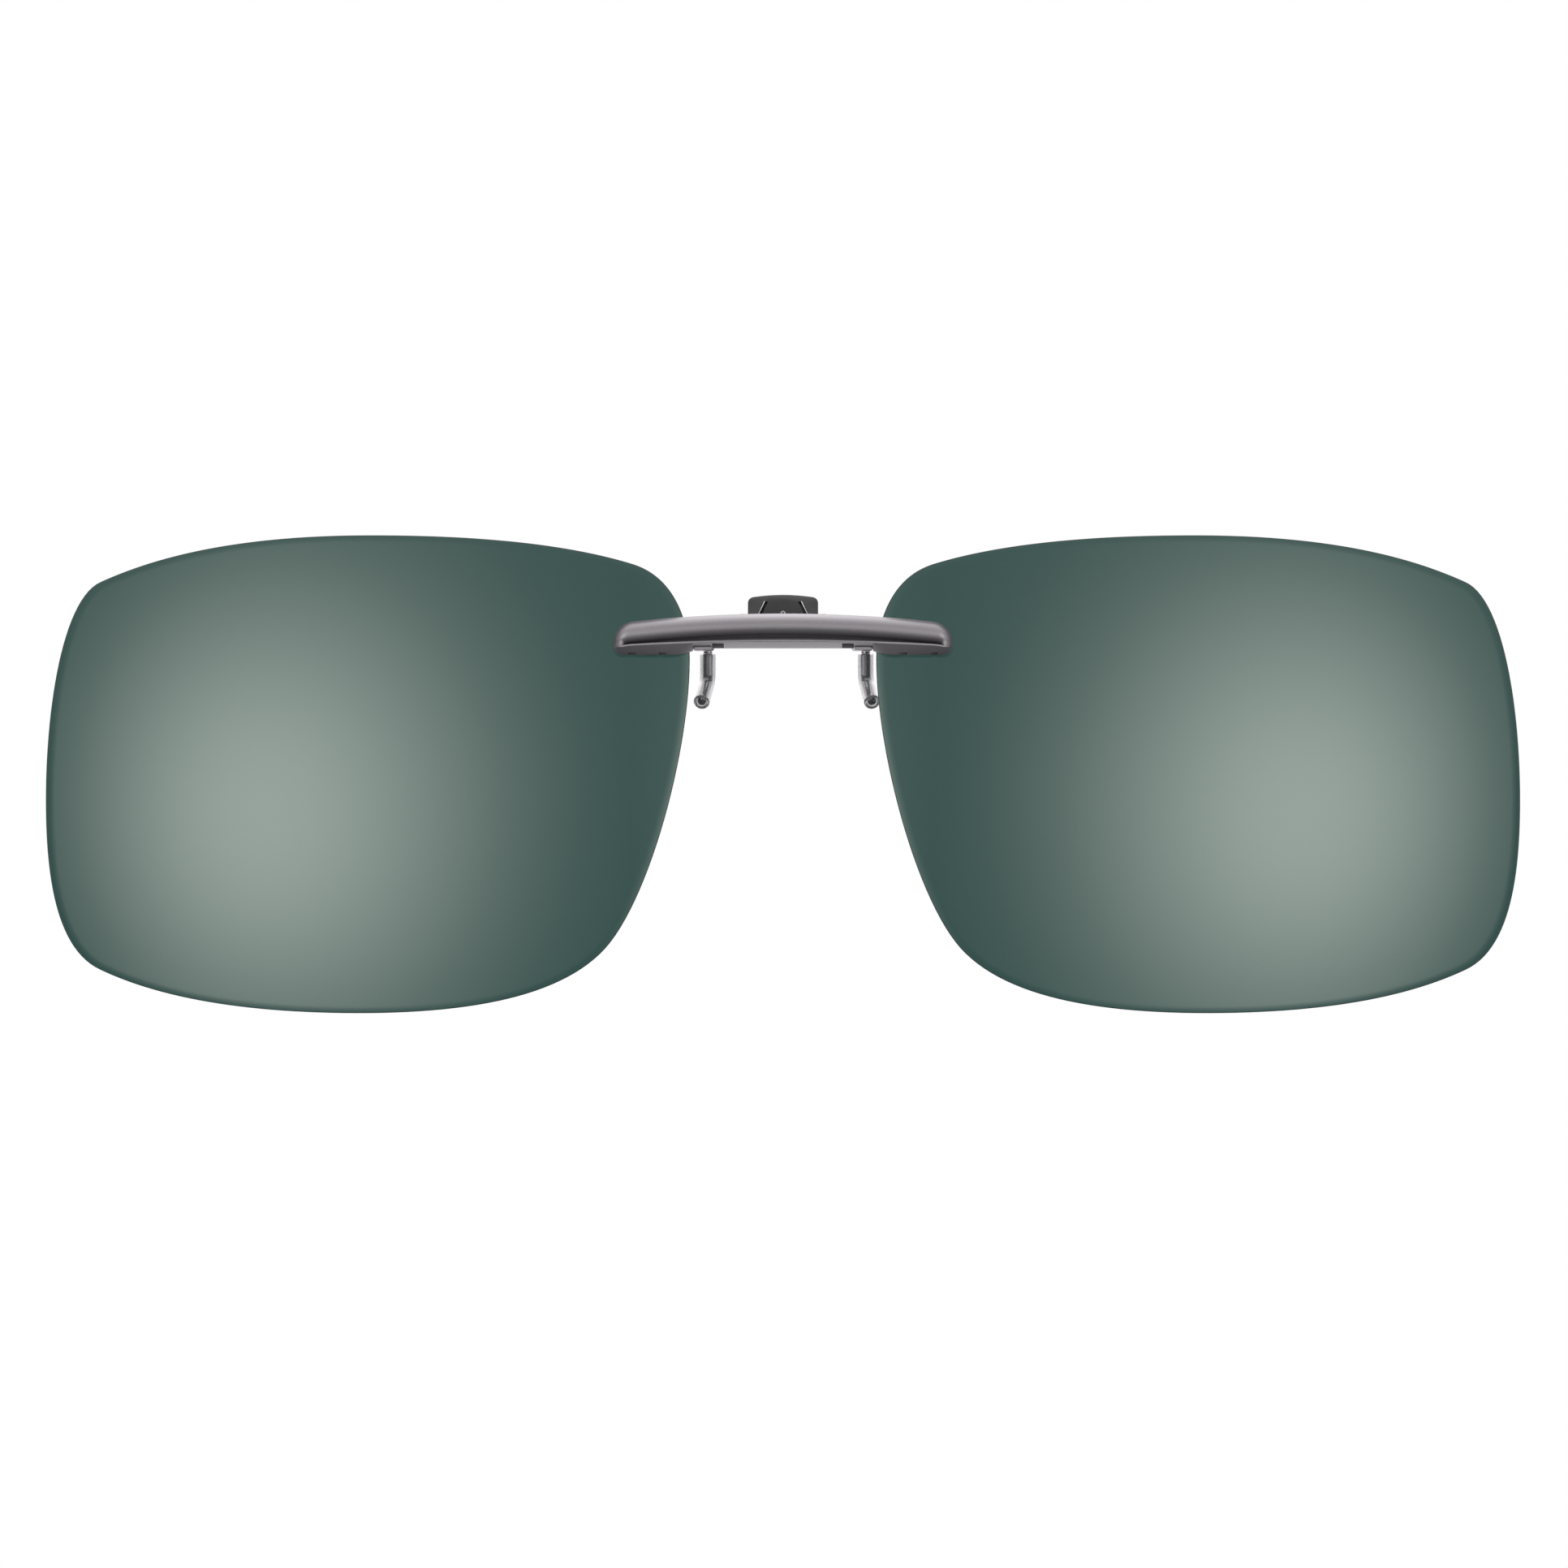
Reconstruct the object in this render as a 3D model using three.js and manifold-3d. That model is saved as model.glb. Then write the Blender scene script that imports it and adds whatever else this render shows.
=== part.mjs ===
// Clip-on sunglasses: two tinted lenses joined by a bridge bar, with a sprung thumb lever
// whose wire prongs grip a pair of spectacles. Millimetres, +X right, +Y towards the wearer,
// +Z up. The origin lies between the two jaw pads, on the plane of their rear faces.
import * as THREE from "three";
import { mergeVertices } from "three/addons/utils/BufferGeometryUtils.js";
import Module from "manifold-3d";

const wasm = await Module();
wasm.setup();

// ---- driving dimensions -------------------------------------------------------------------
const EYE_Z = -11.6; // height of the lenses' mid-line
const LENS_R = 132; // base curve of the lenses
const LENS_APEX_X = 23.4; // where each lens bulges furthest forward
const LENS_APEX_Y = -3.8;
const LENS_T = 1.0;
const LENS_MID_X = 37.2;

const BAR_HALF = 15.1;
const BAR_CAMBER_R = 128; // the bar's top edge bends down along this arc
const BAR_TOP = 2.7;
const BAR_BACK_Y = -2.4;
const BEAD_Y = -3.95; // root plane of the bar's raised bead
const BEAD_OUT = 1.05; // how far the bead stands forward of it
const LIP_Y = -5.05; // front of the ledge under the bead
const BAR_END_Y = -3.05; // the bar's ends thin down to this plane, just in front of the lenses
const MID_FOOT_X = 8; // the bar's lower edge is level out to here, then drops to cover the lenses
const FOOT = { x: 7.15, y: -3.275, z: -0.4, size: [1.6, 1.65, 0.3] }; // in front of each jaw pad
const RELIEF = { x: 5.78, y: -3.8, z: -0.375, size: [1.05, 3, 0.85] }; // beside each foot
const NOTCH = { y: -4.1, above: 0.17, size: [0.65, 1.6, 0.16] }; // under each rivet

const CHASSIS_FRONT_Y = -2.35;
const CHASSIS_REAR_Y = -0.6;
const SEAT_X = 8.1; // the lens seats start here

const RIVET_X = [10.7, 13.4];
const RIVET_Z = 0.6;
const RIVET_FRONT_Y = -3.55;
const SCREW_X = 5.2;
const SCREW_Z = 1.25;

const PIVOT = new THREE.Vector3(0, 2.5, 1.5);
const LEAN = THREE.MathUtils.degToRad(35); // the thumb pad leans back by this much
const WIRE_R = 0.4;
const SLEEVE_R = 0.72;
const SLEEVE_BORE_R = 0.46;
const LEG_X = 7.06;
const WIRE_SHIFT = 0.34; // the wire lies this far off-centre, to the right, in the hub
const HUB_R = 1.05;
const HUB_HALF = 3.15;
const SLOT_HALF = 1.45; // the spring's slot in the middle of the hub
const EAR_X = 3.85; // mid-plane of each bearing ear
const EAR_W = 1.0;

const PAD_X = 7.05;
const PAD_Z = 0.135;

const SPRING_R = 0.72;
const SPRING_WIRE_R = 0.12;
const SPRING_X = 1.22; // outer end of each of the spring's two coils
const SPRING_GAP_X = 0.14; // inner end of each coil, where the middle loop rises
const SPRING_TURNS = 4;
const SPRING_TILT = THREE.MathUtils.degToRad(6); // how far the fixed legs slope down to the chassis

// ---- helpers ------------------------------------------------------------------------------
const V = (x, y, z) => new THREE.Vector3(x, y, z);

function toSolid(geometry) {
  const g = geometry.clone();
  g.deleteAttribute("normal");
  g.deleteAttribute("uv");
  const m = mergeVertices(g, 1e-5);
  return new wasm.Manifold(new wasm.Mesh({
    numProp: 3,
    vertProperties: new Float32Array(m.attributes.position.array),
    triVerts: new Uint32Array(m.index.array),
  }));
}

function toGeometry(solid) {
  const mesh = solid.getMesh();
  const g = new THREE.BufferGeometry();
  const count = mesh.vertProperties.length / mesh.numProp;
  const position = new Float32Array(count * 3);
  for (let i = 0; i < count; i++) {
    for (let j = 0; j < 3; j++) position[3 * i + j] = mesh.vertProperties[i * mesh.numProp + j];
  }
  g.setAttribute("position", new THREE.BufferAttribute(position, 3));
  g.setIndex(Array.from(mesh.triVerts));
  return g;
}

// A geometry from flat arrays, with its triangles turned so that they face outwards.
function facingOut(position, index) {
  const at = (i) => V(position[3 * i], position[3 * i + 1], position[3 * i + 2]);
  let volume = 0;
  for (let i = 0; i < index.length; i += 3) {
    volume += at(index[i]).dot(at(index[i + 1]).cross(at(index[i + 2])));
  }
  const g = new THREE.BufferGeometry();
  g.setAttribute("position", new THREE.Float32BufferAttribute(position, 3));
  g.setIndex(volume < 0 ? index.toReversed() : index);
  return g;
}

// A closed solid through a row of closed sections that all have the same number of points.
function loft(sections) {
  const n = sections[0].length;
  const position = sections.flat().flatMap((p) => [p.x, p.y, p.z]);
  const index = [];
  for (let s = 0; s + 1 < sections.length; s++) {
    for (let i = 0; i < n; i++) {
      const a = s * n + i;
      const b = s * n + ((i + 1) % n);
      index.push(a, a + n, b, b, a + n, b + n);
    }
  }
  const cap = (section, offset, flip) => {
    const normal = V(0, 0, 0);
    section.forEach((p, i) => normal.add(p.clone().cross(section[(i + 1) % n])));
    normal.normalize();
    const side = Math.abs(normal.x) < 0.8 ? V(1, 0, 0) : V(0, 1, 0);
    const u = side.cross(normal).normalize();
    const w = normal.clone().cross(u);
    const flat = section.map((p) => new THREE.Vector2(p.dot(u), p.dot(w)));
    for (const [a, b, c] of THREE.ShapeUtils.triangulateShape(flat, [])) {
      if (flip) index.push(offset + a, offset + c, offset + b);
      else index.push(offset + a, offset + b, offset + c);
    }
  };
  cap(sections[0], 0, false);
  cap(sections.at(-1), (sections.length - 1) * n, true);
  return facingOut(position, index);
}

// A round bar of radius r along a polyline, its section carried along without twisting.
function sweep(points, r, sides) {
  const tangent = (i) => {
    const t = V(0, 0, 0);
    if (i > 0) t.add(points[i].clone().sub(points[i - 1]).normalize());
    if (i + 1 < points.length) t.add(points[i + 1].clone().sub(points[i]).normalize());
    return t.normalize();
  };
  let t0 = tangent(0);
  const start = Math.abs(t0.y) < 0.9 ? V(0, 1, 0) : V(1, 0, 0);
  const across = start.sub(t0.clone().multiplyScalar(start.dot(t0))).normalize();
  return loft(points.map((p, i) => {
    const t = tangent(i);
    across.applyQuaternion(new THREE.Quaternion().setFromUnitVectors(t0, t));
    across.sub(t.clone().multiplyScalar(across.dot(t))).normalize();
    t0 = t;
    const other = t.clone().cross(across);
    return Array.from({ length: sides }, (_, k) => {
      const a = (2 * Math.PI * k) / sides;
      return p.clone().addScaledVector(across, r * Math.cos(a)).addScaledVector(other, r * Math.sin(a));
    });
  }));
}

// A cylinder along Y or X, between two positions on that axis.
function rodY(x, z, y0, y1, r, sides = 20) {
  return new THREE.CylinderGeometry(r, r, y1 - y0, sides).translate(x, (y0 + y1) / 2, z);
}
function rodX(x0, x1, r, sides = 28) {
  return new THREE.CylinderGeometry(r, r, x1 - x0, sides)
    .rotateZ(-Math.PI / 2).translate((x0 + x1) / 2, PIVOT.y, PIVOT.z);
}

// An outline drawn in X and Z, extruded along Y from y0 to y1.
function plateY(shape, y0, y1, bevel = 0) {
  return new THREE.ExtrudeGeometry(shape, {
    depth: y1 - y0 - 2 * bevel, curveSegments: 5, bevelEnabled: bevel > 0,
    bevelThickness: bevel, bevelSize: bevel, bevelOffset: -bevel, bevelSegments: 2,
  }).rotateX(Math.PI / 2).translate(0, y1 - bevel, 0);
}

const mirrorX = (geometry) => {
  const g = geometry.clone().scale(-1, 1, 1);
  return g.setIndex(Array.from(g.index.array).reverse());
};

// ---- lenses -------------------------------------------------------------------------------
// Front surface of a lens: part of a sphere whose centre lies behind it.
function lensY(x, z) {
  const h = z - EYE_Z;
  return LENS_APEX_Y + LENS_R - Math.sqrt(LENS_R ** 2 - (x - LENS_APEX_X) ** 2 - h ** 2);
}

// Outline of the right-hand lens, heights measured from the lenses' mid-line.
const outline = new THREE.Path();
outline.moveTo(8.3, 10.2);
outline.bezierCurveTo(8.3, 13.0, 9.3, 17.4, 13.3, 18.7);
outline.bezierCurveTo(19.1, 20.5, 27.1, 21.3, 37.0, 21.3);
outline.bezierCurveTo(49.2, 21.3, 56.4, 19.3, 61.1, 17.2);
outline.bezierCurveTo(64.5, 15.7, 66.0, 6.0, 66.0, -2.4);
outline.bezierCurveTo(66.0, -8.6, 65.3, -15.6, 61.1, -17.5);
outline.bezierCurveTo(55.7, -20.0, 48.1, -21.3, 38.0, -21.3);
outline.bezierCurveTo(27.8, -21.3, 19.7, -19.8, 15.8, -15.5);
outline.bezierCurveTo(11.8, -11.0, 8.3, 2.1, 8.3, 10.2);

function lensBlank() {
  const rim = outline.getPoints(9).slice(0, -1);
  const rings = [0.25, 0.5, 0.75, 1];
  const n = rim.length;
  const position = [];
  for (const back of [0, LENS_T]) {
    const put = (x, h) => position.push(x, lensY(x, EYE_Z + h) + back, EYE_Z + h);
    put(LENS_MID_X, 0);
    for (const f of rings) for (const p of rim) put(LENS_MID_X + f * (p.x - LENS_MID_X), f * p.y);
  }
  const face = 1 + rings.length * n;
  const index = [];
  for (let i = 0; i < n; i++) {
    const j = (i + 1) % n;
    const triangles = [[0, 1 + i, 1 + j]];
    for (let k = 0; k + 1 < rings.length; k++) {
      const [a, b] = [1 + k * n + i, 1 + k * n + j];
      triangles.push([a, a + n, b], [b, a + n, b + n]);
    }
    for (const [a, b, c] of triangles) index.push(a, b, c, face + a, face + c, face + b);
    const [a, b] = [face - n + i, face - n + j];
    index.push(a, a + face, b, b, a + face, b + face);
  }
  return facingOut(position, index);
}

// A block whose front and back follow a lens surface: it cuts the seats for the lenses.
function seatCutter(front, back) {
  const [x0, x1, z0, z1, nx, nz] = [SEAT_X, 16, -2.2, 4.2, 10, 6];
  const rows = [];
  for (let i = 0; i <= nx; i++) {
    const x = x0 + ((x1 - x0) * i) / nx;
    const row = [];
    for (let j = 0; j <= nz; j++) row.push([x, z0 + ((z1 - z0) * j) / nz]);
    const edge = (offset) => ([a, z]) => V(a, offset(a, z), z);
    rows.push([...row.map(edge(front)), ...row.reverse().map(edge(back))]);
  }
  return loft(rows);
}

let rightLens = toSolid(lensBlank());
for (const x of RIVET_X) {
  rightLens = rightLens.subtract(toSolid(rodY(x, RIVET_Z, -6, 1, 0.66)));
}
const lensGeometry = toGeometry(rightLens);

// ---- bridge bar ---------------------------------------------------------------------------
const camber = (x) => BAR_CAMBER_R - Math.sqrt(BAR_CAMBER_R ** 2 - x ** 2);
// Lower edge: level in the middle, a little deeper where it covers the lenses.
const barFoot = (x) => {
  const a = Math.abs(x);
  return a < MID_FOOT_X ? -0.41 : -1.03 + 0.4 * Math.max(0, 1 - (a - MID_FOOT_X) / 2) ** 2;
};

// How far forward that edge stands: the front slopes under less where it covers the lenses.
const footY = (x) => (Math.abs(x) < MID_FOOT_X ? -3.6 : -4.2);

function barSection(x) {
  const e = BAR_HALF - Math.abs(x);
  const corner = (r) => (e < r ? r - Math.sqrt(Math.max(0, r * r - (r - e) ** 2)) : 0);
  const topFull = BAR_TOP - camber(x);
  const footFull = barFoot(x);
  const top = topFull - corner(1.75);
  const foot = footFull + corner(0.95);
  const height = (z) => foot + ((z - footFull) / (topFull - footFull)) * (top - foot);
  const plan = e < 1.3 ? 0.3 + 0.7 * Math.sqrt(1 - (1 - e / 1.3) ** 2) : 1;
  const depth = (y) => (y < BAR_END_Y ? BAR_END_Y + (y - BAR_END_Y) * plan : y);
  // near the end the crease under the bead fills up, so that bead and ledge run into one dome
  const fill = THREE.MathUtils.smoothstep(1.5 - e, 0, 0.8);
  const beadTop = topFull - 0.12;
  const beadFoot = 0.77 - 1.05 * camber(x);
  const lip = 0.24 - 0.5 * camber(x);
  const section = [[BAR_BACK_Y, topFull - 0.2], [BAR_BACK_Y - 0.2, topFull], [BEAD_Y + 0.2, topFull]];
  for (let i = 0; i <= 8; i++) {
    const a = THREE.MathUtils.degToRad(82 - (164 * i) / 8);
    section.push([
      BEAD_Y - BEAD_OUT * Math.max(Math.cos(a), i > 4 ? 0.9 * fill : 0),
      (beadTop + beadFoot) / 2 + ((beadTop - beadFoot) / 2) * Math.sin(a),
    ]);
  }
  section.push([BEAD_Y - 0.95 * fill, beadFoot - 0.08], [LIP_Y + 0.07, lip + 0.07], [LIP_Y, lip - 0.05]);
  section.push([footY(x), footFull], [BAR_BACK_Y, footFull]);
  return section.map(([y, z]) => V(x, depth(y), height(z)));
}

const barStations = [];
for (let x = 0; x < 7.5; x += 1.5) barStations.push(x);
barStations.push(7.5, 7.99, 8.01, 8.5, 9.2, 10, 11.2, 12.4, 13.2);
for (const e of [1.6, 1.3, 1, 0.78, 0.6, 0.42, 0.28, 0.16, 0.07, 0.01]) barStations.push(BAR_HALF - e);
const allStations = [...barStations.slice(1).map((x) => -x).reverse(), ...barStations];
const barBlank = loft(allStations.map(barSection));

const boxAt = (size, x, y, z) => toSolid(new THREE.BoxGeometry(...size).translate(x, y, z));

let bar = toSolid(barBlank);
const barSeat = seatCutter((x, z) => lensY(x, z) - 0.05, () => 3);
for (const side of [1, -1]) {
  bar = bar.subtract(toSolid(side > 0 ? barSeat : mirrorX(barSeat)));
  for (const x of RIVET_X) {
    bar = bar.subtract(toSolid(rodY(side * x, RIVET_Z, RIVET_FRONT_Y - 0.1, 0, 0.42)));
    bar = bar.subtract(boxAt(NOTCH.size, side * x, NOTCH.y, barFoot(x) + NOTCH.above));
  }
  bar = bar.subtract(toSolid(rodY(side * SCREW_X, SCREW_Z, -3.9, 0, 0.45)));
  bar = bar.add(boxAt(FOOT.size, side * FOOT.x, FOOT.y, FOOT.z));
  bar = bar.subtract(boxAt(RELIEF.size, side * RELIEF.x, RELIEF.y, RELIEF.z));
}

// ---- rear chassis -------------------------------------------------------------------------
function chassisPlate() {
  const shape = new THREE.Shape();
  const half = 14.5;
  const top = (x) => BAR_TOP - 0.35 - camber(x);
  const steps = 20;
  shape.moveTo(-half, 0);
  for (let i = 0; i <= steps; i++) {
    const x = -half + 0.9 + ((2 * half - 1.8) * i) / steps;
    shape.lineTo(x, top(x));
  }
  shape.lineTo(half, 0.9);
  shape.lineTo(half, 0);
  for (const x of [half - 0.6, 10.2, 8.4]) shape.lineTo(x, barFoot(x) + 0.15);
  for (const x of [7.9, -7.9]) shape.lineTo(x, barFoot(x) + 0.03);
  for (const x of [-8.4, -10.2, -half + 0.6]) shape.lineTo(x, barFoot(x) + 0.15);
  shape.closePath();
  return plateY(shape, CHASSIS_FRONT_Y, CHASSIS_REAR_Y);
}

function earPlate(x) {
  const shape = new THREE.Shape();
  shape.moveTo(-1.0, 0.3);
  shape.lineTo(1.9, 0.35);
  shape.quadraticCurveTo(3.0, 0.4, 3.5, 1.0);
  shape.lineTo(4.25, 2.05);
  shape.quadraticCurveTo(4.35, 2.7, 3.6, 2.72);
  shape.lineTo(2.2, 2.65);
  shape.lineTo(-1.0, 2.1);
  shape.closePath();
  const g = new THREE.ExtrudeGeometry(shape, { depth: EAR_W, bevelEnabled: false, curveSegments: 5 });
  // the outline's axes become Y and Z, and its thickness runs along X
  g.applyMatrix4(new THREE.Matrix4().makeBasis(V(0, 1, 0), V(0, 0, 1), V(1, 0, 0)));
  return g.translate(x - EAR_W / 2, 0, 0);
}

// Lever coordinates: X across, then up along the leaning pad, then out of its front face.
const leverFrame = new THREE.Matrix4()
  .makeBasis(V(1, 0, 0), V(0, Math.sin(LEAN), Math.cos(LEAN)), V(0, -Math.cos(LEAN), Math.sin(LEAN)))
  .setPosition(PIVOT);
const onLever = (x, up, out) => V(x, up, out).applyMatrix4(leverFrame);

let chassis = toSolid(chassisPlate());
for (const side of [1, -1]) {
  chassis = chassis.add(toSolid(earPlate(side * EAR_X)));
}
// the beam behind the hub, which stops the lever when the prongs are closed
const stopBeam = new THREE.BoxGeometry(2 * EAR_X, 0.6, 0.55).translate(0, 1.45, -0.58);
chassis = chassis.add(toSolid(stopBeam.applyMatrix4(leverFrame)));
chassis = chassis.subtract(toSolid(rodX(-5, 5, 0.46)));
const chassisSeat = seatCutter(() => -8, (x, z) => lensY(x, z) + LENS_T + 0.1);
for (const side of [1, -1]) {
  chassis = chassis.subtract(toSolid(side > 0 ? chassisSeat : mirrorX(chassisSeat)));
  for (const x of RIVET_X) chassis = chassis.subtract(toSolid(rodY(side * x, RIVET_Z, -4, 1, 0.42)));
  chassis = chassis
    .subtract(toSolid(rodY(side * SCREW_X, SCREW_Z, -4, 1, 0.45)))
    .subtract(toSolid(rodY(side * SCREW_X, SCREW_Z, CHASSIS_REAR_Y - 0.4, 1, 0.78)))
    .subtract(toSolid(rodY(side * PAD_X, PAD_Z, -1.4, 1, 0.33)));
}
// blind holes for the spring's two fixed legs
const legHoleZ = PIVOT.z + SPRING_R - (PIVOT.y - CHASSIS_REAR_Y + 0.3) * Math.tan(SPRING_TILT);
for (const side of [1, -1]) {
  chassis = chassis.subtract(toSolid(rodY(side * SPRING_X, legHoleZ, -1.3, 0, 0.22)));
}

// ---- fasteners and bushings ---------------------------------------------------------------
// A turned piece: profile of [radius, distance along Y].
function turned(profile, x, z, sides = 20) {
  const points = profile.map(([r, y]) => new THREE.Vector2(r, y));
  return new THREE.LatheGeometry(points, sides).translate(x, 0, z);
}

function rivet(x) {
  const y = CHASSIS_REAR_Y + 0.02;
  return turned([[0, RIVET_FRONT_Y], [0.38, RIVET_FRONT_Y], [0.38, y], [0.75, y], [0.72, y + 0.13],
    [0.5, y + 0.28], [0, y + 0.34]], x, RIVET_Z);
}

function bushing(x) {
  const y = lensY(Math.abs(x), RIVET_Z) + 0.01;
  return turned([[0.41, y], [0.62, y], [0.62, y + 1.02], [0.41, y + 1.02], [0.41, y]], x, RIVET_Z);
}

function screw(x) {
  const y = CHASSIS_REAR_Y - 0.37;
  const blank = turned([[0, -3.75], [0.3, -3.75], [0.4, -3.6], [0.4, y], [0.72, y], [0.72, y + 0.22],
    [0.55, y + 0.34], [0, y + 0.36]], x, SCREW_Z, 24);
  const slot = boxAt([1.2, 0.3, 0.2], x, y + 0.3, SCREW_Z);
  const cross = boxAt([0.2, 0.3, 1.2], x, y + 0.3, SCREW_Z);
  return toGeometry(toSolid(blank).subtract(slot).subtract(cross));
}

function jawPad(x) {
  const [w, h, r] = [1.9, 1.53, 0.3];
  const shape = new THREE.Shape();
  shape.moveTo(-w / 2 + r, -h / 2);
  shape.lineTo(w / 2 - r, -h / 2);
  shape.quadraticCurveTo(w / 2, -h / 2, w / 2, -h / 2 + r);
  shape.lineTo(w / 2, h / 2 - r);
  shape.quadraticCurveTo(w / 2, h / 2, w / 2 - r, h / 2);
  shape.lineTo(-w / 2 + r, h / 2);
  shape.quadraticCurveTo(-w / 2, h / 2, -w / 2, h / 2 - r);
  shape.lineTo(-w / 2, -h / 2 + r);
  shape.quadraticCurveTo(-w / 2, -h / 2, -w / 2 + r, -h / 2);
  const block = plateY(shape, CHASSIS_REAR_Y + 0.03, 0, 0.1).translate(x, 0, PAD_Z);
  const stem = rodY(x, PAD_Z, -1.3, CHASSIS_REAR_Y + 0.2, 0.3, 16);
  return toGeometry(toSolid(block).add(toSolid(stem)));
}

// ---- lever, prongs and spring -------------------------------------------------------------
function leverSolid() {
  const shape = new THREE.Shape();
  const half = HUB_HALF;
  shape.moveTo(-half, 0.2);
  shape.lineTo(half, 0.2);
  shape.lineTo(half, 2.4);
  shape.quadraticCurveTo(half, 3.04, 2.45, 3.1);
  shape.quadraticCurveTo(0, 3.52, -2.45, 3.1);
  shape.quadraticCurveTo(-half, 3.04, -half, 2.4);
  shape.closePath();
  const pad = new THREE.ExtrudeGeometry(shape, {
    depth: 0.56, curveSegments: 8, bevelThickness: 0.12, bevelSize: 0.12, bevelOffset: -0.12,
    bevelSegments: 2,
  }).translate(0, 0, -0.13).applyMatrix4(leverFrame);
  let lever = toSolid(pad).add(toSolid(rodX(-half, half, HUB_R)));
  // two thin gussets lean towards each other on the pad's front face, each beside a groove
  for (const side of [1, -1]) {
    const across = (up, corners) => corners.map(([x, out]) => onLever(side * x, up, out));
    const fin = (x, up, out) => across(up, [[x, 0.4], [x + 0.26, 0.4], [x + 0.07, out], [x, out]]);
    const groove = (x, up, w) => across(up, [[x - w, 0.3], [x, 0.3], [x, 2], [x - w, 2]]);
    lever = lever.add(toSolid(loft([fin(2.22, 0.5, 1.2), fin(1.6, 2.5, 0.62)])));
    lever = lever.subtract(toSolid(loft([groove(2.219, 0.5, 0.08), groove(1.599, 2.5, 0.26)])));
  }
  return lever.subtract(toSolid(rodX(-SLOT_HALF, SLOT_HALF, 1.12))).subtract(toSolid(rodX(-4, 4, 0.42)));
}

// Half of the prong wire's centreline, from the middle of the hub to the tip; cut short by
// `trim` at the tip, and started at height `from` on the leg when that is given.
function prongLine(side, trim, from) {
  const tip = V(LEG_X + 0.56, PIVOT.y - 2.85, -5.2);
  const elbow = V(LEG_X + 0.04, PIVOT.y, -3.4);
  const reach = tip.clone().sub(elbow).normalize();
  const points = [];
  const bend = (a, b, c) => points.push(...new THREE.QuadraticBezierCurve3(a, b, c).getPoints(8));
  if (from === undefined) {
    points.push(V(0, PIVOT.y, PIVOT.z));
    bend(V(LEG_X - 0.9, PIVOT.y, PIVOT.z), V(LEG_X, PIVOT.y, PIVOT.z), V(LEG_X, PIVOT.y, PIVOT.z - 0.9));
  } else {
    points.push(V(LEG_X, PIVOT.y, from));
  }
  bend(V(LEG_X, PIVOT.y, elbow.z + 0.8), elbow, elbow.clone().addScaledVector(reach, 0.8));
  points.push(tip.addScaledVector(reach, -trim));
  return points.map((p) => V(side * p.x + WIRE_SHIFT, p.y, p.z));
}

function prongWire() {
  const right = prongLine(1, 0.12);
  const left = prongLine(-1, 0.12).slice(1).reverse();
  return sweep([...left, ...right.slice(1)], WIRE_R, 14);
}

function prongSleeve(side) {
  const outer = sweep(prongLine(side, 0, -0.78), SLEEVE_R, 20);
  const inner = sweep(prongLine(side, -0.3, -0.48), SLEEVE_BORE_R, 20);
  return toGeometry(toSolid(outer).subtract(toSolid(inner)));
}

// One wire wound into two coils, with a loop between them that rises up the pad's front face.
function torsionSpring() {
  const start = Math.PI / 2 + SPRING_TILT;
  const turn = SPRING_TILT + THREE.MathUtils.degToRad(90 - 145 + SPRING_TURNS * 360);
  const coil = (f) => V(
    SPRING_X + (SPRING_GAP_X - SPRING_X) * f,
    PIVOT.y + SPRING_R * Math.cos(start - turn * f),
    PIVOT.z + SPRING_R * Math.sin(start - turn * f),
  );
  const first = coil(0);
  const legY = -1.0;
  const half = [V(SPRING_X, legY, first.z - (first.y - legY) * Math.tan(SPRING_TILT))];
  for (let i = 0; i <= 64; i++) half.push(coil(i / 64));
  for (const up of [0.5, 1.06]) half.push(onLever(SPRING_GAP_X, up, SPRING_R));
  half.push(onLever(0.1, 1.16, SPRING_R));
  const other = half.map((p) => V(-p.x, p.y, p.z));
  return sweep([...half, onLever(0, 1.2, SPRING_R), ...other.reverse()], SPRING_WIRE_R, 7);
}

// ---- the assembly -------------------------------------------------------------------------
const paint = (color, roughness, metalness, extra = {}) =>
  new THREE.MeshStandardMaterial({ color, roughness, metalness, ...extra });
const materials = {
  lens: paint(0x4a6660, 0.05, 0, { transparent: true, opacity: 0.9 }),
  bar: paint(0x77727a, 0.35, 0.8),
  steel: paint(0xa5a4a6, 0.3, 1),
  black: paint(0x353535, 0.45, 0),
  chassis: paint(0x4b484c, 0.5, 0.2),
  vinyl: paint(0xd8d8da, 0.15, 0, { transparent: true, opacity: 0.5 }),
  nylon: paint(0xe2e2e0, 0.5, 0),
};

const model = new THREE.Group();
function place(name, geometry, material) {
  const mesh = new THREE.Mesh(geometry, material);
  mesh.name = name;
  model.add(mesh);
}

place("bridge_bar", toGeometry(bar), materials.bar);
place("rear_chassis", toGeometry(chassis), materials.chassis);
for (const [name, side] of [["left", -1], ["right", 1]]) {
  place(`${name}_lens`, side > 0 ? lensGeometry : mirrorX(lensGeometry), materials.lens);
  RIVET_X.forEach((x, i) => {
    const where = ["inner", "outer"][i];
    place(`${name}_${where}_rivet`, rivet(side * x), materials.steel);
    place(`${name}_${where}_bushing`, bushing(side * x), materials.nylon);
  });
  place(`${name}_chassis_screw`, screw(side * SCREW_X), materials.steel);
  place(`${name}_jaw_pad`, jawPad(side * PAD_X), materials.vinyl);
  place(`${name}_prong_sleeve`, prongSleeve(side), materials.vinyl);
}
place("prong_wire", prongWire(), materials.steel);
place("thumb_lever", toGeometry(leverSolid()), materials.black);
place("torsion_spring", torsionSpring(), materials.steel);

export default model;
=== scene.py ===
"""Clip-on sunglasses: fine pieces, materials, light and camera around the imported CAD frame."""
import math

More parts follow.
